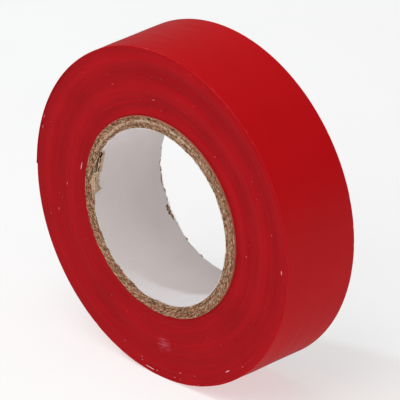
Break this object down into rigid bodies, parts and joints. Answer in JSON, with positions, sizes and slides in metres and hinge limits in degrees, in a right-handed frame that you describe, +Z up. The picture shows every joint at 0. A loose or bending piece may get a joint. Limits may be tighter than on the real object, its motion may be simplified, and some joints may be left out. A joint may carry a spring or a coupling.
{
  "type": "electrical tape roll",
  "caption": "Roll of glossy red insulating tape wound on a board core with a plain round bore, standing on its rim; the free end peels up.",
  "frame": {"origin": "centre of the bore, midway across the tape", "axes": "+Y along the bore, away from the side that is seen first; +Z up, with the roll standing on its rim; +X to the right"},
  "size_m": [0.0731, 0.0195, 0.0731],
  "materials": {
    "lining_paper": "matte white kraft paper, torn here and there at its edge",
    "core_board": "grey-brown recycled board, cut edge fibrous",
    "tape_film": "glossy plasticised film on the rim, satin knife-cut edge on the sides",
    "tape_adhesive": "tacky clear pressure-sensitive coat over the red film"
  },
  "bodies": {
    "roll": {"core_lining": "lining_paper", "core_ply_1": "core_board", "core_ply_2": "core_board", "core_ply_3": "core_board", "core_ply_4": "core_board", "wound_tape": "tape_film"},
    "tail": {"tail_film": "tape_film", "tail_adhesive": "tape_adhesive"}
  },
  "joints": [
    {"name": "tail_peel", "type": "hinge", "parent": "roll", "child": "tail", "pos_m": [-0.02588, 0, 0.02588], "axis": [0, 1, 0], "range_deg": [0, 120]}
  ]
}
